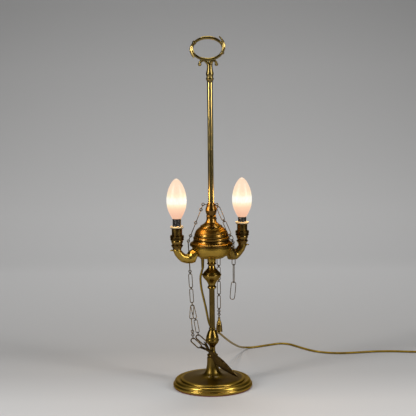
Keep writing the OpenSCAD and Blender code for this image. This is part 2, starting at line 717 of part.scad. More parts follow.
// The right chain has lost its tool, and ends in one wide link that hangs a little askew
module chain_right_hang() {
    d = unit([-3, 0, -last_l]);
    u = unit(right_low - [0, 0, right_low[2]]);
    color(bronze) {
        run(drape_at(1), right_low, ["l", "L", "L"], beside(1));
        link(right_low, right_low + last_l * d, last_b, unit(u - (u * d) * d), unit(cross(d, u)));
    }
}

module chain_back_hang() {
    color(bronze) run(drape_at(2), back_end,
        ["L", "r", "L", "r", "L", "r", "L", "r", "L", "r", "r", "r", "r"], beside(2));
}

// The left chain forks into two strands, which spread with their first link
module strand(side, kinds) {
    start = fork_at + [0, side * fork_apart, 0];
    bend = start + [side > 0 ? 5.2 : -1.8, -6.6, -22.3];
    color(bronze) {
        d = unit(bend - start);
        u = unit([1, 0, 0] - d[0] * d);
        link(start, bend, link_b, u, cross(d, u));
        run(bend, loop_hang(side), kinds, [0, 1, 0]);
    }
}

module chain_left_hang() {
    color(bronze) run(drape_at(0), fork_at, ["L", "r", "L", "r", "r", "L", "r", "L", "R"], beside(0));
    strand(1, ["r", "L", "R"]);
}

module chain_left_strand() {
    strand(-1, ["L", "r", "r", "r", "R"]);
}

// The snuffer hangs from the last ring of the back chain
snuffer_loop = ring_b - 0.3;

module snuffer() {
    h = snuffer_h;
    loop_z = back_end[2] + over - snuffer_loop;
    z = loop_z - snuffer_loop - 1;
    color(dark_brass) translate([back_end[0], back_end[1], 0]) {
        translate([0, 0, loop_z]) rotate([90, 0, chain_turns[2]]) rotate_extrude($fn = 24)
            translate([snuffer_loop, 0]) circle(r = wire_d / 2, $fn = 16);
        difference() {
            turned([[0, z + 0.6], [1.6, z + 0.6], [2.6, z - 1], [1.9, z - 2], [2.2, z - 3.2], [2.8, z - 6],
                [4.4, z - 9.4], [4, z - 10], [4.9, z - 13], [5.3, z - 17], [snuffer_r - 0.4, z + 1.4 - h],
                [snuffer_r, z + 0.8 - h], [snuffer_r, z - h], [0, z - h]], 48);
            turned([[0, z - 7], [1.6, z - 7], [3.2, z - 10], [4, z - 13], [4.3, z - 17],
                [snuffer_r - 1, z - h], [snuffer_r - 1, z - h - 1], [0, z - h - 1]], 48);
        }
    }
}

// The scissors lie against the foot, tip down on the base, in a plane that faces forward
pivot = [-2.4, -(foot_r + 5.2), rim_h + 48.6];
lean = 43.6;
loop_l = 24;
loop_w = 10;
bar_w = 1.7;
loop_y = 5.1;

function on_scissors(x, y) = pivot + [x * cos(lean) + y * sin(lean), 0, -x * sin(lean) + y * cos(lean)];

// The lower, front half has the longer handle
function handle_end(side) = side > 0 ? -shank_l : -shank_l - 2.6;

// Where the last ring of each strand holds the top of its finger loop
function loop_hang(side) = let (bend = loop_w / 2 - bar_w / 2,
    bar = on_scissors(handle_end(side) + loop_w / 2 - bend * sin(lean),
        side * loop_y + bend * cos(lean)) + side * [0, half_t / 2 + seat, 0])
    bar + (bar_w / 2 + clear) * unit(bar - fork_at);

module finger_loop(end, y) {
    translate([end + loop_l / 2, y]) difference() {
        hull() for (s = [-1, 1]) translate([s * (loop_l - loop_w) / 2, 0]) circle(r = loop_w / 2, $fn = 32);
        hull() for (s = [-1, 1]) translate([s * (loop_l - loop_w) / 2, 0])
            circle(r = loop_w / 2 - bar_w, $fn = 32);
    }
}

module half_solid(end, belly) {
    neck = end + loop_l - 1;
    linear_extrude(height = half_t) finger_loop(end, -loop_y);
    linear_extrude(height = half_t) circle(r = 4.2, $fn = 32);
    linear_extrude(height = half_t) polygon([[neck, 1.8 - loop_y], [-7, 1.6], [0, 3.6], [6, 3.8],
        [blade_l * 0.5, 2.6], [blade_l, 0.6], [blade_l, -0.2], [blade_l * 0.62, -belly * 0.72],
        [blade_l * 0.4, -belly], [blade_l * 0.18, -belly * 0.8], [3, -3.4], [-4, -2.4],
        [neck, -1.8 - loop_y]]);
}

module in_scissors() {
    translate(pivot) rotate([0, lean, 0]) rotate([90, 0, 0]) children();
}

module scissor_back() {
    color(dark_brass) in_scissors() difference() {
        translate([0, 0, -half_t - seat]) mirror([0, 1, 0]) half_solid(handle_end(1), 4.6);
        translate([0, 0, -4]) cylinder(r = 1.5 + fit, h = 8);
    }
}

module scissor_front() {
    color(dark_brass) in_scissors() difference() {
        translate([0, 0, seat]) half_solid(handle_end(-1), 9);
        translate([0, 0, -4]) cylinder(r = 1.5 + fit, h = 8);
    }
}

module scissor_screw() {
    color(dark_brass) in_scissors() {
        translate([0, 0, -half_t - 2 * seat - 0.8]) cylinder(r = 2.4, h = 0.8);
        translate([0, 0, -half_t - 2 * seat - 0.1]) cylinder(r = 1.5, h = 2 * half_t + 4 * seat + 0.2);
        translate([0, 0, half_t + 2 * seat]) cylinder(r = 2.7, h = 1.1);
    }
}

// The cord

relief_r = 3.2;
flex_x = -15.8;
flex_y = 4;
relief_low = seat_z - 10.8;
relief_top = disc_z + disc_t + 0.6;

module strain_relief() {
    color("#6e5520") translate([flex_x, flex_y, 0]) difference() {
        turned([[0, relief_low], [flex_d / 2 + 0.5, relief_low], [relief_r - 0.2, plate_z - 3.4],
            [relief_r + 1, plate_z - 3], [relief_r + 1, plate_z - 0.8], [relief_r, plate_z - 0.8],
            [relief_r, relief_top], [0, relief_top]], 48);
        bore(flex_d / 2 + clear / 2, relief_low - 1, relief_top + 1);
    }
}

// The route of the flex, chosen by hand: down beside the stem, behind it, back to the table
floor_f = flex_d / 2 + 0.1;
flex_line = 206.6;
drop_points = [[flex_x, flex_y, relief_low + 3], [flex_x, flex_y, relief_low - 0.5], [-17.8, 4.6, 206],
    [-19.8, 5.4, 197], [-19.6, 6.2, 185], [-17.4, 7, 170], [-14.4, 8, 156], [-11.4, 9, 142],
    [-8.4, 9.8, 128], [-5, 11, 113], [-0.6, 14, 101],
    [4.6, 20, 93.6], [9.8, 31, 87.4], [14.8, 50, 79.6], [20.6, 74, 69.6], [26.6, 98, 59.4],
    [32.6, 124, 48.4], [38.4, 150, 37.4], [44.4, 176, 26.2], [50.2, 202, 15.2], [56, 224, 7.2],
    [63, 243, floor_f + 1], [73, 257, floor_f]];
run_points = [[86, 267, floor_f], [102, 275, floor_f], [119, 285, floor_f], [136, 292, floor_f],
    [152, 291, floor_f], [166, 279, floor_f], [178, 260, floor_f], [191, 238, floor_f],
    [207, 220, floor_f], [228, 210, floor_f], [254, 207, floor_f], [284, 211, floor_f],
    [316, 217, floor_f], [350, 218, floor_f], [386, 213, floor_f], [420, flex_line + 1, floor_f],
    [442, flex_line, floor_f], [452, flex_line, floor_f]];
route = smooth(concat(drop_points, run_points), 2);
drop_n = 2 * len(drop_points) - 2;

coil_at = [456, flex_line + coil_r + coil_step * 1.8125 / 2, 0];
layers = 4;
turns_each = 1.8125;
coil_reach = coil_step * turns_each;
coil_sides = 6;
rings_each = 24;
coil_n = round(layers * turns_each * rings_each);

// The spiral runs in and out again, and climbs a layer in the half turn at each end of it
function coil_turn(i) = layers * turns_each * i / coil_n;
function coil_radius(t) = let (u = t / turns_each, k = floor(u), w = u - k)
    coil_r + coil_reach / 2 - coil_reach * (k % 2 == 0 ? w : 1 - w);
function coil_height(t) = let (k = round(t / turns_each), off = t - k * turns_each)
    k < 1 || k > layers - 1 ? floor(min(t / turns_each, layers - 0.001))
    : k - 0.5 + max(-0.5, min(0.5, off / 0.5));
function coil_point(i) = let (t = coil_turn(i), a = -90 + 360 * t, r = coil_radius(t))
    coil_at + [r * cos(a), r * sin(a), floor_f + coil_step * coil_height(t)];
coil_points = [for (i = [0:coil_n]) coil_point(i)];
coil_start = coil_points[0] - [flex_d, 0, 0];
coil_end = coil_points[coil_n] + [0, flex_d, 0];
coil_path = concat([coil_start], coil_points, [coil_end]);

coil_gap = min([for (i = [0:coil_n], j = [i + 10:1:coil_n]) norm(coil_points[i] - coil_points[j])]) - flex_d;
echo(coil_gap = coil_gap);
echo(flex_length = length_of(route) + length_of(coil_path) + length_of(tail_points));

plug_at = [coil_end[0], coil_end[1] + 30, 0];
plug_in_z = 8;
tail_points = smooth([coil_end, coil_end + [0, 6, -0.4], coil_end + [0, 14, -3],
    [coil_end[0], coil_end[1] + 24, plug_in_z], [coil_end[0], plug_at[1] + 2, plug_in_z]], 3);

module flex_drop() {
    color("#a98a35") tube(route, flex_d / 2, 8, [0, 1, 0], 0, drop_n);
}

module flex_run() {
    color("#a98a35") tube(route, flex_d / 2, 8, [0, 1, 0], drop_n, len(route) - 1);
}

module flex_coil() {
    color("#a98a35") tube(coil_path, flex_d / 2, coil_sides, [0, 0, 1]);
}

module flex_tail() {
    color("#a98a35") tube(tail_points, flex_d / 2, 8, [1, 0, 0]);
}

module plug_shape(h, inset = 0) {
    linear_extrude(height = h) hull() {
        for (s = [-1, 1]) translate([s * (plug_w / 2 - 8), plug_l - 6]) circle(r = 6 - inset, $fn = 32);
        for (s = [-1, 1]) translate([s * (plug_w / 2 - 5), 5]) circle(r = 5 - inset, $fn = 32);
    }
}

module plug_cover() {
    color("#26221f") translate(plug_at) difference() {
        plug_shape(plug_t);
        translate([0, 0, 2]) plug_shape(plug_t, 2);
        translate([0, 5, plug_in_z]) rotate([90, 0, 0]) cylinder(r = flex_d / 2 + fit, h = 12);
        translate([0, plug_l / 2, -1]) cylinder(r = 1.8 + fit, h = 5, $fn = 32);
    }
}

module plug_base() {
    color("#26221f") translate(plug_at + [0, 0, plug_t + seat]) difference() {
        plug_shape(5);
        for (p = pin_places()) translate([p[0] - p[2] / 2 - fit, p[1] - p[3] / 2 - fit, -1])
            cube([p[2] + 2 * fit, p[3] + 2 * fit, 8]);
    }
}

// Places of the pins, with their width, depth and length
function pin_places() = [[0, plug_l - 12, 4, 8, 22.6], [-11.1, plug_l - 34.2, 6.4, 4, 17.6],
    [11.1, plug_l - 34.2, 6.4, 4, 17.6]];

module plug_pins() {
    color("#b59a4a") for (p = pin_places())
        translate(plug_at + [p[0] - p[2] / 2, p[1] - p[3] / 2, plug_t - 5])
            cube([p[2], p[3], p[4] + 10 + seat]);
}

module plug_screw() {
    color(steel) translate(plug_at + [0, plug_l / 2, 0]) {
        translate([0, 0, 0.4]) cylinder(r = 1.8, h = plug_t + seat - 0.4, $fn = 32);
        translate([0, 0, 2 + seat]) cylinder(r = 3, h = 1, $fn = 32);
    }
}

felt_pad();
base();
base_washer();
base_nut();
tie_rod();
baluster();
column();
knob();
rod();
ring_handle();
sleeve();
retaining_disc();
sleeve_nut();
bowl();
cover();
bell();
chain_eyes();
spout(arm_turn + 180);  // spout_left
spout(arm_turn);  // spout_right
inner_flex(arm_turn + 180);  // inner_flex_left
inner_flex(arm_turn);  // inner_flex_right
terminal_block();
cup(arm_turn + 180);  // cup_left
cup(arm_turn);  // cup_right
holder_base(arm_turn + 180);  // holder_base_left
holder_base(arm_turn);  // holder_base_right
insulator(arm_turn + 180);  // insulator_left
insulator(arm_turn);  // insulator_right
plungers(arm_turn + 180);  // plungers_left
plungers(arm_turn);  // plungers_right
barrel(arm_turn + 180);  // barrel_left
barrel(arm_turn);  // barrel_right
shade_ring(arm_turn + 180);  // shade_ring_left
shade_ring(arm_turn);  // shade_ring_right
bulb_cap(arm_turn + 180);  // bulb_cap_left
bulb_cap(arm_turn);  // bulb_cap_right
bulb_glass(arm_turn + 180);  // bulb_glass_left
bulb_glass(arm_turn);  // bulb_glass_right
chain_top(0);  // chain_left_top
chain_left_hang();
chain_left_strand();
chain_top(1);  // chain_right_top
chain_right_hang();
chain_top(2);  // chain_back_top
chain_back_hang();
snuffer();
scissor_back();
scissor_front();
scissor_screw();
strain_relief();
flex_drop();
flex_run();
flex_coil();
flex_tail();
plug_cover();
plug_base();
plug_pins();
plug_screw();
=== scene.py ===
import math
import bpy, bmesh
from mathutils import Matrix, Vector


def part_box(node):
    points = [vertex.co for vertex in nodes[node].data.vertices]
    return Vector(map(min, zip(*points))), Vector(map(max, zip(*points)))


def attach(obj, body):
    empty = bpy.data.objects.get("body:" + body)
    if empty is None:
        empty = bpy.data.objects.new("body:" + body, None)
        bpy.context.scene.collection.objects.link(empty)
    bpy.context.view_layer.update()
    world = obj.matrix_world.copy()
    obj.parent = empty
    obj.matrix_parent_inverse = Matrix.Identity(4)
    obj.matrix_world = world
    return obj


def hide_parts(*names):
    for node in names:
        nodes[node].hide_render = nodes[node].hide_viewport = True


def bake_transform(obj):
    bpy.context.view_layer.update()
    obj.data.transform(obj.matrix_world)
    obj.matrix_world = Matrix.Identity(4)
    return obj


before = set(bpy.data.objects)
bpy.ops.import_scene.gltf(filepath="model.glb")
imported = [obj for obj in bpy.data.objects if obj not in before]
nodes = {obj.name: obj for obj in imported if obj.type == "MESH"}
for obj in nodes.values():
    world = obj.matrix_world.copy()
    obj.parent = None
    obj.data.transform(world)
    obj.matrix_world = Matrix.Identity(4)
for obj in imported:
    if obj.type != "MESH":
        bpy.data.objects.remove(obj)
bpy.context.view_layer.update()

# ---- The camera
# A long lens about two metres in front of the lamp, a little above the font and looking
# slightly down, with the small tilt that makes the stem lean in the picture.
camera_data = bpy.data.cameras.new("camera")
camera_data.sensor_width = 36
camera_data.lens = 36 * 1228 / 416
camera_data.clip_end = 30
camera = bpy.data.objects.new("camera", camera_data)
bpy.context.scene.collection.objects.link(camera)
camera.matrix_world = (Matrix.Translation((-0.0054, -2.132, 0.62485))
    @ Matrix.Rotation(math.radians(90 - 8.11), 4, "X") @ Matrix.Rotation(-0.0101, 4, "Z"))
bpy.context.scene.camera = camera

# ---- The flex
# Gold coloured round flex with a soft plastic sheath, 4 mm thick. It leaves the floor of the
# font beside the stem, drops behind the baluster to the table, and the rest of its 1.8 m is
# wound into a coil with the plug beside it.
def on_route(points, steps):
    out = []
    for i in range(len(points) - 1):
        a, b, c, d = (Vector(points[max(0, min(len(points) - 1, k))]) for k in (i - 1, i, i + 1, i + 2))
        for j in range(steps):
            t = j / steps
            out.append(0.5 * (2 * b + (c - a) * t + (2 * a - 5 * b + 4 * c - d) * t * t
                + (3 * b - a - 3 * c + d) * t ** 3))
    return out + [Vector(points[-1])]

table_line = 2.1
route = [(-15.8, 4, 216.9), (-15.8, 4, 213.4), (-17.8, 4.6, 206), (-19.8, 5.4, 197), (-19.6, 6.2, 185),
    (-17.4, 7, 170), (-14.4, 8, 156), (-11.4, 9.2, 142), (-8.8, 11.6, 127.6), (-5.8, 17, 111.6), (-1.6, 27, 98.6),
    (3.4, 41, 90.5), (9.2, 54, 84.6), (14.8, 66, 78.3), (20.6, 83, 68.9), (26.6, 103, 58.9), (32.6, 126, 48.6),
    (38.6, 150, 38.6), (44.6, 176, 28.8), (50.6, 202, 19.2), (56.8, 224, 11.8), (63.6, 243, 6.2), (71, 255, 2.9)]
route += [(x, y, table_line) for x, y in ((80, 258.6), (91, 263.5), (102, 269.4), (115.6, 276.9), (128, 283.6),
    (138, 286.6), (148.4, 285.2), (156.1, 280.1), (163.6, 271.8), (171, 261.5), (180, 249), (192, 234), (207, 221),
    (228, 211), (254, 207.6), (284, 211), (316, 217), (350, 218), (386, 213), (420, 207.6), (442, 206.6), (452, 206.6))]
coil_step, coil_middle, layers, turns_each = 4.5, 20.8, 4, 1.8125
coil_reach = coil_step * turns_each
coil_at = Vector((456, 206.6 + coil_middle + coil_reach / 2, 0))
coil = []
for i in range(int(layers * turns_each * 32) + 1):
    turn = i / 32
    layer = int(turn // turns_each)
    share = turn / turns_each - layer
    radius = coil_middle + coil_reach / 2 - coil_reach * (share if layer % 2 == 0 else 1 - share)
    edge = round(turn / turns_each)
    if edge < 1 or edge > layers - 1:
        height = math.floor(min(turn / turns_each, layers - 0.001))
    else:
        height = edge - 0.5 + max(-0.5, min(0.5, (turn - edge * turns_each) / 0.5))
    angle = math.radians(-90 + 360 * turn)
    coil.append(coil_at + Vector((radius * math.cos(angle), radius * math.sin(angle),
        table_line + coil_step * height)))
coil_end = coil[-1] + Vector((0, 4, 0))
plug_at = Vector((coil_end.x, coil_end.y + 30, 0))
tail = [coil_end, coil_end + Vector((0, 6, -0.4)), coil_end + Vector((0, 14, -3)),
    Vector((coil_end.x, coil_end.y + 24, 8)), Vector((coil_end.x, plug_at.y + 2, 8))]
flex_line = [p * 0.001 for p in on_route(route, 4)[:-1] + [Vector(route[-1])] + coil + on_route(tail, 4)]

def tube_along(name, line, radius, sides_level=3):
    curve = bpy.data.curves.new(name, "CURVE")
    curve.dimensions = "3D"
    curve.bevel_depth = radius
    curve.bevel_resolution = sides_level
    curve.use_fill_caps = True
    spline = curve.splines.new("POLY")
    spline.points.add(len(line) - 1)
    for point, place in zip(spline.points, line):
        point.co = (*place, 1)
    spline.use_smooth = True
    piece = bpy.data.objects.new(name, curve)
    bpy.context.scene.collection.objects.link(piece)
    bpy.ops.object.select_all(action="DESELECT")
    piece.select_set(True)
    bpy.context.view_layer.objects.active = piece
    bpy.ops.object.convert(target="MESH")
    piece = bpy.context.active_object
    bpy.ops.object.shade_smooth()
    return piece

def node_material(name):
    material = bpy.data.materials.new(name)
    material.use_nodes = True
    tree = material.node_tree
    shader = next(n for n in tree.nodes if n.type == "BSDF_PRINCIPLED")
    place = tree.nodes.new("ShaderNodeTexCoord")
    return material, tree, shader, place.outputs["Object"]

def noise(tree, place, scale, detail=4, rough=0.55, stretch=None):
    if stretch is not None:
        mapping = tree.nodes.new("ShaderNodeMapping")
        mapping.inputs["Scale"].default_value = stretch
        tree.links.new(place, mapping.inputs["Vector"])
        place = mapping.outputs["Vector"]
    texture = tree.nodes.new("ShaderNodeTexNoise")
    texture.inputs["Scale"].default_value = scale
    texture.inputs["Detail"].default_value = detail
    texture.inputs["Roughness"].default_value = rough
    tree.links.new(place, texture.inputs["Vector"])
    return texture.outputs["Fac"]

def ramp(tree, value, stops):
    node = tree.nodes.new("ShaderNodeValToRGB")
    while len(node.color_ramp.elements) < len(stops):
        node.color_ramp.elements.new(0.5)
    for element, (place, colour) in zip(node.color_ramp.elements, stops):
        element.position = place
        element.color = (*colour, 1) if len(colour) == 3 else colour
    tree.links.new(value, node.inputs["Fac"])
    return node.outputs["Color"]

def grey(tree, value, low, high, from_low=0.3, from_high=0.7):
    node = tree.nodes.new("ShaderNodeMapRange")
    for key, number in (("From Min", from_low), ("From Max", from_high), ("To Min", low), ("To Max", high)):
        node.inputs[key].default_value = number
    tree.links.new(value, node.inputs["Value"])
    return node.outputs["Result"]

def bump(tree, shader, height, strength, distance):
    node = tree.nodes.new("ShaderNodeBump")
    node.inputs["Strength"].default_value = strength
    node.inputs["Distance"].default_value = distance
    tree.links.new(height, node.inputs["Height"])
    tree.links.new(node.outputs["Normal"], shader.inputs["Normal"])

flex_sheath, tree, shader, place = node_material("gold_flex_sheath")
shader.inputs["Metallic"].default_value = 0.3
shader.inputs["Specular IOR Level"].default_value = 0.25
shader.inputs["Coat Weight"].default_value = 0.12
shader.inputs["Coat Roughness"].default_value = 0.2
tree.links.new(ramp(tree, noise(tree, place, 90), [(0.3, (0.16, 0.1, 0.003)), (0.7, (0.3, 0.19, 0.007))]),
    shader.inputs["Base Color"])
tree.links.new(grey(tree, noise(tree, place, 400), 0.3, 0.42), shader.inputs["Roughness"])
bump(tree, shader, noise(tree, place, 700), 0.1, 0.0002)

flex = tube_along("flex", flex_line, 0.002)
flex.data.materials.append(flex_sheath)
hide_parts("flex_drop", "flex_run", "flex_coil", "flex_tail")
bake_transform(flex)

# ---- The floor and the lights
# A grey paper sweep under and behind the lamp, which shows only on its front, a soft box at
# each side and a weak one overhead, in a dim room. The lit bulbs warm what stands near them.
bpy.ops.object.select_all(action="DESELECT")
bpy.ops.mesh.primitive_plane_add(size=1, location=(0, 0, 0))
sweep = bpy.context.active_object
sweep.name = "paper_sweep"
mesh = bmesh.new()
profile = [(-1.3, 0)] + [(y, 0) for y in (-0.6, 0, 0.6, 1.2)]
profile += [(1.2 + 0.9 * math.sin(math.radians(a)), 0.9 - 0.9 * math.cos(math.radians(a))) for a in range(6, 91, 6)]
profile += [(2.1, 1.8), (2.1, 3.2)]
left = [mesh.verts.new((-1.1, y, z)) for y, z in profile]
right = [mesh.verts.new((1.1, y, z)) for y, z in profile]
for i in range(len(profile) - 1):
    mesh.faces.new((left[i], right[i], right[i + 1], left[i + 1]))
mesh.to_mesh(sweep.data)
mesh.free()
for face in sweep.data.polygons:
    face.use_smooth = True
paper, tree, shader, place = node_material("grey_paper")
split = tree.nodes.new("ShaderNodeSeparateXYZ")
tree.links.new(place, split.inputs["Vector"])
along = tree.nodes.new("ShaderNodeMath")
tree.links.new(split.outputs["Y"], along.inputs[0])
tree.links.new(split.outputs["Z"], along.inputs[1])
# The paper's tone runs with Y+Z: the darker band around and behind the lamp is a painted shadow, and the darkening up
# the wall is a painted fall-off of light.
tree.links.new(ramp(tree, grey(tree, along.outputs["Value"], 0, 1, -0.4, 3),
    [(at, (0.975 * tone, 0.99 * tone, 1.015 * tone)) for at, tone in ((0.0, 0.69), (0.09, 0.598), (0.14, 0.462),
    (0.19, 0.418), (0.3, 0.53), (0.43, 0.652), (0.6, 0.636), (0.76, 0.542), (0.86, 0.481), (0.94, 0.402))]),
    shader.inputs["Base Color"])
shader.inputs["Roughness"].default_value = 0.85
shader.inputs["Specular IOR Level"].default_value = 0.2
bump(tree, shader, noise(tree, place, 60), 0.05, 0.0004)
from_behind = tree.nodes.new("ShaderNodeNewGeometry").outputs["Backfacing"]
open_back = tree.nodes.new("ShaderNodeMixShader")
tree.links.new(from_behind, open_back.inputs["Fac"])
tree.links.new(shader.outputs["BSDF"], open_back.inputs[1])
tree.links.new(tree.nodes.new("ShaderNodeBsdfTransparent").outputs["BSDF"], open_back.inputs[2])
sheet_out = next(n for n in tree.nodes if n.type == "OUTPUT_MATERIAL")
tree.links.new(open_back.outputs["Shader"], sheet_out.inputs["Surface"])
sweep.data.materials.append(paper)

def soft_box(name, at, to, wide, high, watts, colour=(1, 0.98, 0.95)):
    light = bpy.data.lights.new(name, "AREA")
    light.shape = "RECTANGLE"
    light.size, light.size_y = wide, high
    light.energy = watts
    light.color = colour
    lamp = bpy.data.objects.new(name, light)
    lamp.location = at
    lamp.rotation_euler = (Vector(to) - Vector(at)).to_track_quat("-Z", "Y").to_euler()
    bpy.context.scene.collection.objects.link(lamp)

soft_box("left_soft_box", (-1.35, -1.0, 0.95), (0, 0, 0.3), 0.34, 1.2, 22)
soft_box("right_soft_box", (1.35, -0.9, 0.9), (0, 0, 0.3), 0.3, 1.1, 18)
soft_box("top_soft_box", (0, 0.9, 2.1), (0, 0.4, 0), 1.2, 0.8, 20)
for name, x, y in (("left_glow", -0.0598, -0.0242), ("right_glow", 0.0549, 0.0222)):
    glow = bpy.data.lights.new(name, "POINT")
    glow.energy, glow.shadow_soft_size, glow.color = 0.45, 0.011, (1, 0.62, 0.3)
    lamp = bpy.data.objects.new(name, glow)
    lamp.location = (x, y, 0.334)
    bpy.context.scene.collection.objects.link(lamp)
world = bpy.data.worlds.new("studio")
bpy.context.scene.world = world
world.use_nodes = True
world.node_tree.nodes["Background"].inputs["Color"].default_value = (0.5, 0.49, 0.47, 1)
world.node_tree.nodes["Background"].inputs["Strength"].default_value = 0.06
bpy.context.scene.view_settings.view_transform = "Standard"

# ---- The base and its felt
# A heavy turned base in aged brass, with a stepped rim and a trumpet foot, on a red felt pad.
# The brass is rubbed bright on its swells, and an occlusion mask darkens its grooves: patina there, with painted shade.
def mixed(tree, share, first, second):
    node = tree.nodes.new("ShaderNodeMix")
    node.data_type = "RGBA"
    tree.links.new(share, node.inputs["Factor"])
    for socket, colour in ((node.inputs[6], first), (node.inputs[7], second)):
        if isinstance(colour, tuple):
            socket.default_value = (*colour, 1)
        else:
            tree.links.new(colour, socket)
    return node.outputs[2]

# Ambient occlusion mask for recesses: the colour mixed in through it is painted shade in the hollows, together with the
# brass's patina there.
def hollow_shade(tree, reach, low=0.35, high=0.9, edges=False):
    node = tree.nodes.new("ShaderNodeAmbientOcclusion")
    node.only_local = True
    node.inside = edges
    node.samples = 6
    node.inputs["Distance"].default_value = reach
    return grey(tree, node.outputs["AO"], 1, 0, low, high)

def aged_brass(name, clean, aged, patina_and_shade, cloud, gloss, grooves=0.004, lathe=True, bump_by=0.012, lacquer=0.18):
    material, tree, shader, place = node_material(name)
    shader.inputs["Metallic"].default_value = 1
    shader.inputs["Specular Tint"].default_value = (0.8, 0.59, 0.24, 1)
    shader.inputs["Coat Weight"].default_value = lacquer
    shader.inputs["Coat Roughness"].default_value = 0.13
    colour = ramp(tree, noise(tree, place, cloud, 5, 0.55), [(0.3, aged), (0.68, clean)])
    spots = grey(tree, noise(tree, place, cloud * 4, 3, 0.5), 0, 0.5, 0.54, 0.72)
    colour = mixed(tree, spots, colour, aged)
    # Recesses are darkened through the occlusion mask: painted shade, together with patina.
    colour = mixed(tree, hollow_shade(tree, grooves), colour, patina_and_shade)
    tree.links.new(colour, shader.inputs["Base Color"])
    tree.links.new(grey(tree, noise(tree, place, cloud * 2.3, 3, 0.5), gloss[0], gloss[1]),
        shader.inputs["Roughness"])
    lines = noise(tree, place, 600, 1, 0.5, (0.02, 0.02, 1)) if lathe else noise(tree, place, cloud * 8, 3, 0.6)
    bump(tree, shader, lines, bump_by, 0.0003)
    return material

def dress(material, *names):
    for name in names:
        mesh = nodes[name].data
        mesh.materials.clear()
        mesh.materials.append(material)

base_brass = aged_brass("base_brass", (0.42, 0.275, 0.045), (0.29, 0.183, 0.03), (0.022, 0.013, 0.003), 16,
    (0.27, 0.33), 0.005, bump_by=0.004)
tree = base_brass.node_tree
shader = next(n for n in tree.nodes if n.type == "BSDF_PRINCIPLED")
place = next(n for n in tree.nodes if n.type == "TEX_COORD").outputs["Object"]
flat = tree.nodes.new("ShaderNodeVectorMath")
flat.operation = "MULTIPLY"
flat.inputs[1].default_value = (1, 1, 0)
tree.links.new(place, flat.inputs[0])
reach = tree.nodes.new("ShaderNodeVectorMath")
reach.operation = "LENGTH"
tree.links.new(flat.outputs["Vector"], reach.inputs[0])
# Between the foot and the rim the top plate gets a higher roughness and a darker colour; the darker colour is painted
# shade.
dull_shaded_plate = ramp(tree, reach.outputs["Value"], [(0.009, (0.7, 0.7, 0.7)), (0.021, (1, 1, 1)), (0.0525, (1, 1, 1)),
    (0.055, (0, 0, 0))])
tree.links.new(mixed(tree, dull_shaded_plate, shader.inputs["Roughness"].links[0].from_socket, (0.43, 0.43, 0.43)),
    shader.inputs["Roughness"])
tree.links.new(mixed(tree, dull_shaded_plate, shader.inputs["Base Color"].links[0].from_socket, (0.075, 0.046, 0.0065)),
    shader.inputs["Base Color"])

def turned_piece(name, outline, steps):
    bpy.ops.object.select_all(action="DESELECT")
    bpy.ops.mesh.primitive_circle_add(vertices=len(outline), radius=0.01, location=(0, 0, 0))
    piece = bpy.context.active_object
    piece.name = name
    for vertex, (r, z) in zip(piece.data.vertices, outline):
        vertex.co = (r * 0.001, 0, z * 0.001)
    bpy.ops.object.mode_set(mode="EDIT")
    bpy.ops.mesh.select_all(action="SELECT")
    bpy.ops.mesh.spin(steps=steps, angle=math.tau, center=(0, 0, 0), axis=(0, 0, 1))
    bpy.ops.mesh.select_all(action="SELECT")
    bpy.ops.mesh.remove_doubles(threshold=0.000005)
    bpy.ops.mesh.normals_make_consistent(inside=False)
    bpy.ops.object.mode_set(mode="OBJECT")
    bpy.ops.object.shade_smooth_by_angle(angle=math.radians(32))
    return piece

trumpet = [(55.7, 15.6), (54.6, 15.7), (52, 16), (46, 16.5), (39, 17.1), (32, 17.9), (26, 18.9), (20.6, 20.4),
    (16.6, 22.6), (13.7, 25.8), (12, 29.8), (10.9, 34.4), (10.2, 39.4), (9.8, 44.6), (9.7, 50)]
outer = [(2.6, 53), (8.9, 53), (9.6, 52.5), (9.8, 51.2)]
outer += [(p.x, p.y) for p in reversed(on_route([(x, y, 0) for x, y in trumpet], 3))]
outer += [(56.8, 15.25), (57.25, 14.8), (57.5, 14.2), (57.7, 13.1), (59, 12.9), (60.3, 13), (61.4, 13.5), (62.6, 13.9)]
outer += [(62.8 + 5.5 * math.cos(math.radians(a)), 8.6 + 5.5 * math.sin(math.radians(a))) for a in range(80, -1, -8)]
outer += [(68, 7.7), (68.3, 7.1), (69.4, 6.7), (70.2, 6.2), (70.7, 5.4), (70.8, 4.1), (70.7, 2.8), (70.2, 1.8), (68.8, 1.3)]
under = [(68, 1.3), (65.8, 8.4), (58.6, 9.4), (52, 12.6), (37, 14.2), (25, 15.6), (16, 18.8), (12, 19.6), (2.6, 19.6)]
base = turned_piece("turned_base", outer + under, 144)
base.data.materials.append(base_brass)
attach(base, "stand")
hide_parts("base")
felt, tree, shader, place = node_material("red_felt")
tree.links.new(ramp(tree, noise(tree, place, 900), [(0.3, (0.12, 0.015, 0.01)), (0.7, (0.26, 0.04, 0.03))]),
    shader.inputs["Base Color"])
shader.inputs["Roughness"].default_value = 0.95
bump(tree, shader, noise(tree, place, 1600), 0.6, 0.0008)
dress(felt, "felt_pad")
plain_steel, tree, shader, place = node_material("zinc_steel")
shader.inputs["Metallic"].default_value = 1
tree.links.new(ramp(tree, noise(tree, place, 240), [(0.3, (0.24, 0.235, 0.22)), (0.7, (0.46, 0.455, 0.44))]),
    shader.inputs["Base Color"])
tree.links.new(grey(tree, noise(tree, place, 600), 0.28, 0.5), shader.inputs["Roughness"])
bump(tree, shader, noise(tree, place, 1500), 0.08, 0.0002)
dress(plain_steel, "base_washer", "base_nut", "tie_rod", "plungers_left", "plungers_right", "plug_screw")

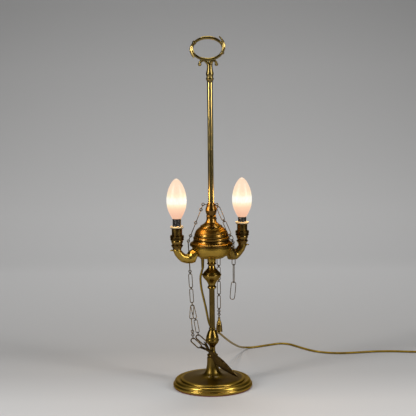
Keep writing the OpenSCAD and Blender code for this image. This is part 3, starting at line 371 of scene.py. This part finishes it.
# ---- The stem
# Turned brass pieces threaded on the tie rod: a dark baluster, a fluted column and a knob
# with a sharp edge, below a polished rod.
stem_brass = aged_brass("stem_brass", (0.205, 0.13, 0.02), (0.085, 0.05, 0.008), (0.022, 0.012, 0.003), 26,
    (0.2, 0.32), 0.004)
dress(stem_brass, "baluster")
column_brass = aged_brass("column_brass", (0.17, 0.108, 0.018), (0.05, 0.03, 0.006), (0.008, 0.004, 0.001), 26,
    (0.16, 0.28), 0.003)
dress(column_brass, "column")
knob_brass = aged_brass("knob_brass", (0.3, 0.185, 0.03), (0.13, 0.076, 0.013), (0.026, 0.014, 0.003), 26,
    (0.16, 0.3), 0.004)
dress(knob_brass, "knob")
rod_brass = aged_brass("rod_brass", (0.55, 0.41, 0.145), (0.42, 0.3, 0.09), (0.06, 0.038, 0.01), 12,
    (0.14, 0.22), 0.003)
dress(rod_brass, "rod")

# ---- The ring handle
# One brass casting: a neck that forks into two scrolls and an oval ring with leaves along it,
# so its parts run into each other with soft corners.
def cast(name, node, body, voxel, rounds, added=()):
    piece = bpy.data.objects.new(name, nodes[node].data.copy())
    bpy.context.scene.collection.objects.link(piece)
    bpy.ops.object.select_all(action="DESELECT")
    for part in (*added, piece):
        part.select_set(True)
    bpy.context.view_layer.objects.active = piece
    if added:
        bpy.ops.object.join()
    bpy.ops.object.mode_set(mode="EDIT")
    bpy.ops.mesh.select_all(action="SELECT")
    bpy.ops.mesh.remove_doubles(threshold=0.00001)
    bpy.ops.object.mode_set(mode="OBJECT")
    remesh = piece.modifiers.new("remesh", "REMESH")
    remesh.mode, remesh.voxel_size, remesh.use_smooth_shade = "VOXEL", voxel, True
    soften = piece.modifiers.new("soften", "SMOOTH")
    soften.factor, soften.iterations = 0.5, rounds
    for modifier in ("remesh", "soften"):
        bpy.ops.object.modifier_apply(modifier=modifier)
    piece.data.materials.clear()
    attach(piece, body)
    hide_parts(node)
    return piece

handle_brass = aged_brass("handle_brass", (0.38, 0.28, 0.085), (0.08, 0.05, 0.012), (0.012, 0.007, 0.002), 45,
    (0.2, 0.34), 0.003, lathe=False, bump_by=0.15)
scrolls = []
for way, reach in ((-1, 0.0155), (1, 0.0131)):
    arm = [(-0.0016 + way * x * reach, 0, 0.5767 + z) for x, z in ((0.06, -0.009), (0.12, -0.003), (0.3, 0.0008),
        (0.55, 0.0016), (0.8, 0.0002), (0.98, -0.0024), (1.0, -0.0052))]
    scroll = tube_along("scroll", on_route(arm, 4), 0.0022)
    scrolls.append(scroll)
    bpy.ops.object.select_all(action="DESELECT")
    bpy.ops.mesh.primitive_uv_sphere_add(segments=20, ring_count=12, radius=0.0031, location=arm[-1])
    bpy.ops.object.transform_apply(location=True)
    scrolls.append(bpy.context.active_object)
handle = cast("cast_ring_handle", "ring_handle", "stand", 0.0004, 4, scrolls)
handle.data.materials.append(handle_brass)

# ---- The font
# The old oil bowl with its cover and bell, all spun brass, on a sleeve that slides on the rod.
# Above the brim the brass is painted darker, and the cover and bell are darker, redder copies of it: painted shade.
font_brass = aged_brass("font_brass", (0.46, 0.29, 0.042), (0.24, 0.14, 0.02), (0.04, 0.022, 0.004), 18,
    (0.24, 0.33), 0.004)
dress(font_brass, "bowl", "sleeve", "retaining_disc", "sleeve_nut")
tree = font_brass.node_tree
shader = next(n for n in tree.nodes if n.type == "BSDF_PRINCIPLED")
place = next(n for n in tree.nodes if n.type == "TEX_COORD").outputs["Object"]
split = tree.nodes.new("ShaderNodeSeparateXYZ")
tree.links.new(place, split.inputs["Vector"])
# Above the brim the font's brass is mixed towards dark brown: painted shade.
painted_upper_shade = grey(tree, split.outputs["Z"], 0, 0.85, 0.2535, 0.2555)
tree.links.new(mixed(tree, painted_upper_shade, shader.inputs["Base Color"].links[0].from_socket, (0.085, 0.042, 0.007)),
    shader.inputs["Base Color"])
# The cover and bell get darker, redder copies of the font's brass: painted shade.
shaded_cover_brass = aged_brass("shaded_cover_brass", (0.235, 0.128, 0.02), (0.095, 0.043, 0.007), (0.03, 0.013, 0.003), 20,
    (0.24, 0.36), 0.005)
dress(shaded_cover_brass, "cover")
shaded_bell_brass = aged_brass("shaded_bell_brass", (0.2, 0.108, 0.017), (0.085, 0.042, 0.007), (0.025, 0.012, 0.003), 20,
    (0.22, 0.34), 0.005)
dress(shaded_bell_brass, "bell")
inner_sheath = flex_sheath.copy()
inner_sheath.name = "inner_wire_sheath"
dress(inner_sheath, "inner_flex_left", "inner_flex_right", "strain_relief")
block_plastic, tree, shader, place = node_material("white_plastic")
tree.links.new(ramp(tree, noise(tree, place, 300), [(0.3, (0.62, 0.58, 0.5)), (0.7, (0.72, 0.69, 0.62))]),
    shader.inputs["Base Color"])
shader.inputs["Roughness"].default_value = 0.45
dress(block_plastic, "terminal_block")

# ---- The spouts
# Two cast brass spouts brazed to the bowl, with a small pointed lip where the wick came out.
# The right spout gets a darker copy of the left one's brass: painted shade.
for side, clean, aged in (("left", (0.42, 0.27, 0.042), (0.2, 0.12, 0.018)),
        ("right", (0.3, 0.185, 0.03), (0.13, 0.076, 0.012))):
    spout = cast("cast_spout_" + side, "spout_" + side, "font", 0.0004, 4)
    spout.data.materials.append(aged_brass("spout_brass_painted_light_" + side, clean, aged, (0.028, 0.016, 0.004), 24,
        (0.22, 0.33), 0.004, lathe=False, bump_by=0.04))

# ---- The lamp holders
# Dark brass bayonet holders on a turned cup at the end of each spout, with a loose shade ring.
holder_brass = aged_brass("holder_brass", (0.27, 0.165, 0.032), (0.07, 0.038, 0.008), (0.012, 0.006, 0.002), 60,
    (0.14, 0.3), 0.003)
for side in ("left", "right"):
    dress(holder_brass, "cup_" + side, "holder_base_" + side, "shade_ring_" + side)
    barrel_brass_lit_rim = holder_brass.copy()
    barrel_brass_lit_rim.name = "barrel_brass_lit_rim_" + side
    tree = barrel_brass_lit_rim.node_tree
    shader = next(n for n in tree.nodes if n.type == "BSDF_PRINCIPLED")
    split = tree.nodes.new("ShaderNodeSeparateXYZ")
    tree.links.new(next(n for n in tree.nodes if n.type == "TEX_COORD").outputs["Object"], split.inputs["Vector"])
    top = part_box("barrel_" + side)[1][2]
    # The top few millimetres of each barrel are painted pale cream and made non-metallic: painted light from the bulb
    # above.
    painted_bulb_light_rim = grey(tree, split.outputs["Z"], 0, 1, top - 0.0026, top - 0.0022)
    tree.links.new(mixed(tree, painted_bulb_light_rim, shader.inputs["Base Color"].links[0].from_socket, (0.52, 0.42, 0.25)),
        shader.inputs["Base Color"])
    tree.links.new(mixed(tree, painted_bulb_light_rim, (1, 1, 1), (0, 0, 0)), shader.inputs["Metallic"])
    tree.links.new(mixed(tree, painted_bulb_light_rim, shader.inputs["Roughness"].links[0].from_socket, (0.5, 0.5, 0.5)),
        shader.inputs["Roughness"])
    dress(barrel_brass_lit_rim, "barrel_" + side)
black_plastic, tree, shader, place = node_material("black_plastic")
tree.links.new(ramp(tree, noise(tree, place, 500), [(0.3, (0.012, 0.011, 0.01)), (0.7, (0.03, 0.028, 0.026))]),
    shader.inputs["Base Color"])
tree.links.new(grey(tree, noise(tree, place, 900), 0.35, 0.5), shader.inputs["Roughness"])
dress(black_plastic, "insulator_left", "insulator_right", "plug_cover", "plug_base")

# ---- The bulbs
# Frosted candle bulbs on nickel caps, lit, with the hottest band at the filament.
cap_nickel, tree, shader, place = node_material("cap_nickel")
shader.inputs["Metallic"].default_value = 1
tree.links.new(ramp(tree, noise(tree, place, 200), [(0.3, (0.4, 0.38, 0.35)), (0.7, (0.74, 0.71, 0.67))]),
    shader.inputs["Base Color"])
tree.links.new(grey(tree, noise(tree, place, 500), 0.08, 0.16), shader.inputs["Roughness"])
dress(cap_nickel, "bulb_cap_left", "bulb_cap_right")

def lit_glass(name, low, high):
    material, tree, shader, place = node_material(name)
    split = tree.nodes.new("ShaderNodeSeparateXYZ")
    tree.links.new(place, split.inputs["Vector"])
    height = grey(tree, split.outputs["Z"], 0, 1, low, high)
    glow = ramp(tree, height, [(0.0, (0.8, 0.44, 0.28)), (0.12, (0.86, 0.5, 0.34)), (0.26, (0.95, 0.64, 0.42)),
        (0.35, (1, 0.9, 0.6)), (0.4, (1, 1, 0.9)), (0.5, (1, 1, 0.92)), (0.58, (1, 0.9, 0.62)), (0.68, (1, 0.76, 0.54)),
        (0.84, (0.98, 0.74, 0.54)), (1.0, (0.94, 0.7, 0.5))])
    streaks = grey(tree, noise(tree, place, 700, 3, 0.6, (1, 1, 0.22)), 0, 0.3, 0.4, 0.65)
    glow = mixed(tree, streaks, glow, (0.9, 0.58, 0.4))
    tree.links.new(glow, shader.inputs["Emission Color"])
    shader.inputs["Base Color"].default_value = (0.06, 0.045, 0.04, 1)
    shader.inputs["Emission Strength"].default_value = 1
    shader.inputs["Roughness"].default_value = 0.4
    return material

dress(lit_glass("lit_glass_left", 0.3065, 0.3765), "bulb_glass_left")
dress(lit_glass("lit_glass_right", 0.302, 0.372), "bulb_glass_right")
for side in ("left", "right"):
    nodes["bulb_glass_" + side].visible_shadow = False

# ---- The chains
# Thin bronze wire bent into long links and small rings, each turned a quarter from the last.
# Three chains hang from rings on the bell, go over the brim and carry the tools.
chain_bronze = aged_brass("chain_bronze", (0.19, 0.13, 0.055), (0.07, 0.044, 0.018), (0.018, 0.011, 0.005), 90,
    (0.22, 0.36), 0.002, lathe=False, bump_by=0.1, lacquer=0.1)
dress(chain_bronze, "chain_eyes")
wire, overlap = 0.00068, 0.00073
half_widths = {"L": 0.003, "l": 0.003, "r": 0.0023, "R": 0.0034}
bent = {}

def select_where(piece, test):
    bpy.ops.object.select_all(action="DESELECT")
    piece.select_set(True)
    bpy.context.view_layer.objects.active = piece
    bpy.ops.object.mode_set(mode="EDIT")
    bpy.ops.mesh.select_mode(type="VERT")
    bpy.ops.mesh.select_all(action="DESELECT")
    bpy.ops.object.mode_set(mode="OBJECT")
    for vertex in piece.data.vertices:
        vertex.select = test(vertex.co)
    bpy.ops.object.mode_set(mode="EDIT")

def bent_link(half, stretch):
    key = (half, round(stretch, 5))
    if key not in bent:
        bpy.ops.object.select_all(action="DESELECT")
        bpy.ops.mesh.primitive_torus_add(major_segments=20, minor_segments=8, major_radius=half, minor_radius=wire)
        link = bpy.context.active_object
        for side in (-1, 1):
            select_where(link, lambda co: co.x * side > 0.00001)
            bpy.ops.transform.translate(value=(side * stretch, 0, 0))
            bpy.ops.object.mode_set(mode="OBJECT")
        bpy.ops.object.shade_smooth()
        bent[key] = link
    return bent[key].data.copy()

def link_between(a, b, half, side):
    way = (b - a).normalized()
    across = (side - side.dot(way) * way).normalized()
    data = bent_link(half, (b - a).length / 2 + overlap - half)
    data.transform(Matrix.Translation((a + b) / 2)
        @ Matrix((way, across, way.cross(across))).transposed().to_4x4())
    link = bpy.data.objects.new("link", data)
    bpy.context.scene.collection.objects.link(link)
    return link

def links_between(a, b, kinds, side):
    reach = {k: 2 * (half_widths[k] - overlap) for k in "rR"}
    reach["l"] = 0.007
    reach["L"] = ((b - a).length - sum(reach[k] for k in kinds if k != "L")) / max(1, kinds.count("L"))
    way = (b - a).normalized()
    flat = (side - side.dot(way) * way).normalized()
    links, at = [], a
    for i, kind in enumerate(kinds):
        links.append(link_between(at, at + reach[kind] * way, half_widths[kind],
            way.cross(flat) if i % 2 else flat))
        at = at + reach[kind] * way
    return links

def chain_piece(name, links, node, body=None):
    bpy.ops.object.select_all(action="DESELECT")
    for link in links:
        link.select_set(True)
    bpy.context.view_layer.objects.active = links[0]
    bpy.ops.object.join()
    piece = links[0]
    piece.name = name
    piece.data.materials.clear()
    piece.data.materials.append(chain_bronze)
    if body:
        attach(piece, body)
    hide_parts(node)
    return piece

turns = [math.radians(a) for a in (177, -20, 72)]
eyes = [Vector((r * math.cos(a), r * math.sin(a), 0.3274)) for a, r in zip(turns, (0.014, 0.0108, 0.0108))]
over_brim = [Vector((0.041 * math.cos(a), 0.041 * math.sin(a), 0.2608)) for a in turns]
beside = [Vector((-math.sin(a), math.cos(a), 0)) for a in turns]
for i, (name, kinds) in enumerate((("left", "lrLrLrlr"), ("right", "rLrLrlrr"), ("back", "rLrLrlrr"))):
    start = eyes[i] + (half_widths["r"] - overlap) * (over_brim[i] - eyes[i]).normalized()
    chain_piece(name + "_chain_upper_links", links_between(start, over_brim[i], kinds, beside[i]),
        "chain_" + name + "_top", name + "_chain_top")
right_low = Vector((0.0385274, -0.0140228, 0.1907))
askew = Vector((-3, 0, -30)).normalized()
outward = Vector((right_low.x, right_low.y, 0)).normalized()
chain_piece("right_chain_lower_links", links_between(over_brim[1], right_low, "lLL", beside[1])
    + [link_between(right_low, right_low + 0.03 * askew, 0.0044, outward)], "chain_right_hang", "right_chain")
chain_piece("back_chain_lower_links", links_between(over_brim[2], Vector((0.0126697, 0.0389933, 0.1197)),
    "LrLrLrLrLrrrr", beside[2]), "chain_back_hang", "back_chain")
fork = Vector((-0.0352, 0.001, 0.1467))

def strand(side, kinds, hang):
    start = fork + Vector((0, side * 0.00095, 0))
    bend = start + Vector((0.0052 if side > 0 else -0.0018, -0.0066, -0.0223))
    return [link_between(start, bend, 0.003, Vector((1, 0, 0)))] + links_between(bend, hang, kinds, Vector((0, 1, 0)))

chain_piece("left_chain_lower_links", links_between(over_brim[0], fork, "LrLrrLrLR", beside[0])
    + strand(1, "rLR", Vector((-0.0247308, -0.0142232, 0.0957886))), "chain_left_hang", "left_chain")
front_strand = chain_piece("left_chain_front_strand",
    strand(-1, "LrrrR", Vector((-0.0338437, -0.0160317, 0.0901752))), "chain_left_strand")
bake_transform(front_strand)
for link in bent.values():
    bpy.data.objects.remove(link)

# ---- The snuffer
# A small cast brass cone on the back chain, that puts a flame out.
snuffer_brass = aged_brass("snuffer_brass", (0.3, 0.19, 0.034), (0.12, 0.07, 0.013), (0.02, 0.011, 0.003), 90,
    (0.22, 0.36), 0.003, lathe=False, bump_by=0.1)
snuffer = cast("cast_snuffer", "snuffer", "snuffer", 0.00028, 3)
snuffer.data.materials.append(snuffer_brass)

# ---- The wick scissors
# Two flat brass halves on a screw, each with a long oval finger loop of round bar and a broad
# blade with a rib along its back. They hang from the left chain and lean against the foot.
tool_brass = aged_brass("tool_brass", (0.1, 0.06, 0.013), (0.04, 0.023, 0.006), (0.012, 0.007, 0.002), 50,
    (0.2, 0.34), 0.003, lathe=False, bump_by=0.12, lacquer=0.08)
lean = math.radians(43.6)
in_scissors = (Matrix.Translation((-0.0024, -0.0148, 0.0642)) @ Matrix.Rotation(lean, 4, "Y")
    @ Matrix.Rotation(math.radians(90), 4, "X"))

def scissor_half(name, node, body, side, handle_end, belly):
    outline = [(handle_end + 23.2, 1.3 - 5.1), (-22, -2.5), (-7, 1.5), (-3, 3.4), (0, 4.1), (3, 3.9), (8, 3.6), (33, 2.5),
        (52, 1.5), (66, 0.5), (65.6, -0.3), (54, -belly * 0.4), (41, -belly * 0.74), (33, -belly * 0.92),
        (26, -belly), (18, -belly * 0.94), (11, -belly * 0.78), (5, -4.2), (1, -3.9), (-4, -2.3), (-22, -5.3),
        (handle_end + 23.2, -1.3 - 5.1)]
    bpy.ops.object.select_all(action="DESELECT")
    bpy.ops.mesh.primitive_circle_add(vertices=len(outline), radius=0.01, fill_type="NGON")
    piece = bpy.context.active_object
    piece.name = name
    for vertex, (x, y) in zip(piece.data.vertices, reversed(outline)):
        vertex.co = (x * 0.001, y * 0.001, 0.00012)
    select_where(piece, lambda co: True)
    bpy.ops.mesh.extrude_region_move(TRANSFORM_OT_translate={"value": (0, 0, 0.0015)})
    bpy.ops.mesh.normals_make_consistent(inside=False)
    bpy.ops.object.mode_set(mode="OBJECT")
    edge = piece.modifiers.new("worn_edge", "BEVEL")
    edge.width, edge.segments, edge.limit_method = 0.00045, 3, "ANGLE"
    bpy.ops.object.modifier_apply(modifier="worn_edge")
    bpy.ops.mesh.primitive_torus_add(major_segments=28, minor_segments=12, major_radius=0.0041, minor_radius=0.0011,
        location=((handle_end + 12) * 0.001, -0.0051, 0.0009))
    loop = bpy.context.active_object
    bpy.ops.object.transform_apply(location=True)
    middle = (handle_end + 12) * 0.001
    for way in (-1, 1):
        select_where(loop, lambda co: (co.x - middle) * way > 0.00001)
        bpy.ops.transform.translate(value=(way * 0.0068, 0, 0))
        bpy.ops.object.mode_set(mode="OBJECT")
    bpy.ops.object.select_all(action="DESELECT")
    bpy.ops.mesh.primitive_cone_add(vertices=12, radius1=0.0009, radius2=0.0004, depth=0.056,
        location=(0.034, 0.0020, 0.0016), rotation=(0, math.radians(90), math.radians(-3)))
    rib = bpy.context.active_object
    bpy.ops.object.transform_apply(location=True, rotation=True)
    bpy.ops.object.select_all(action="DESELECT")
    for part in (loop, rib, piece):
        part.select_set(True)
    bpy.context.view_layer.objects.active = piece
    bpy.ops.object.join()
    if side > 0:
        piece.data.transform(Matrix.Rotation(math.radians(180), 4, "X"))
    piece.data.transform(in_scissors)
    bpy.ops.object.shade_smooth_by_angle(angle=math.radians(40))
    piece.data.materials.clear()
    piece.data.materials.append(tool_brass)
    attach(piece, body)
    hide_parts(node)

scissor_half("scissors_back_half", "scissor_back", "scissor_back", 1, -41, 4.6)
scissor_half("scissors_front_half", "scissor_front", "scissor_front", -1, -43.6, 9.6)
dress(tool_brass, "scissor_screw")

# ---- The plug's pins
# Three drawn brass pins, brighter than the lamp.
pin_brass = aged_brass("pin_brass", (0.6, 0.42, 0.14), (0.5, 0.33, 0.1), (0.3, 0.19, 0.05), 120, (0.15, 0.3))
dress(pin_brass, "plug_pins")
